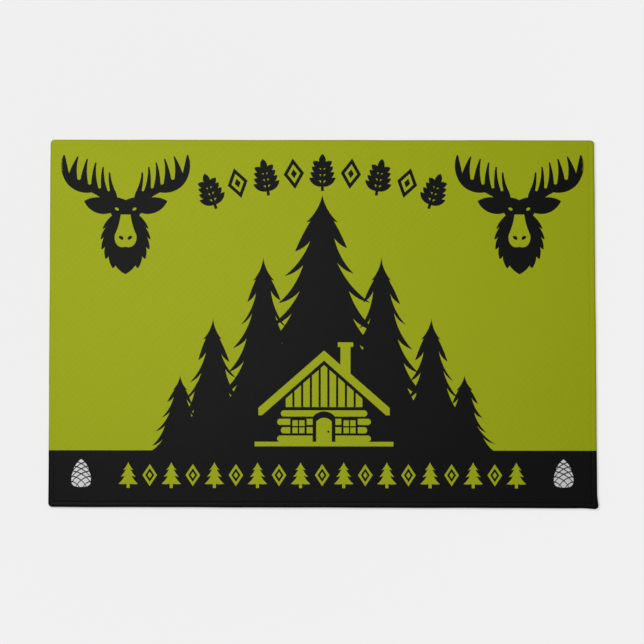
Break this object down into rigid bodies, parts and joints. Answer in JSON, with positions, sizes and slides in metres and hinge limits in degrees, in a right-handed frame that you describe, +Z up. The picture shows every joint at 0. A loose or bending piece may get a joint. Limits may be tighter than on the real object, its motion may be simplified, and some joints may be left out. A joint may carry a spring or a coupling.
{
  "type": "doormat",
  "caption": "Flat rectangular doormat: a printed face cloth turned into a stitched hem over a felt core and a studded rubber backing.",
  "frame": {"origin": "centre of the mat on the floor, at the feet of the backing's studs", "axes": "+X along the long side, to the right of a reader of the print; +Y away from the reader, to the top of the print; +Z up, out of the printed face"},
  "size_m": [0.6, 0.404, 0.0063],
  "materials": {
    "printed_polyester": "matt ribbed polyester cloth, dye-printed in lime, black and pale grey",
    "grey_felt": "matt needle-punched felt",
    "adhesive_web": "translucent hot-melt web",
    "black_rubber": "matt moulded rubber with a fine fabric grain",
    "sewing_thread": "twisted polyester thread, matched to the print"
  },
  "bodies": {
    "root": {"rubber_backing": "black_rubber", "lower_adhesive_web": "adhesive_web", "felt_core": "grey_felt", "upper_adhesive_web": "adhesive_web", "face_cloth": "printed_polyester", "hem_needle_thread": "sewing_thread", "hem_bobbin_thread": "sewing_thread"}
  },
  "joints": []
}
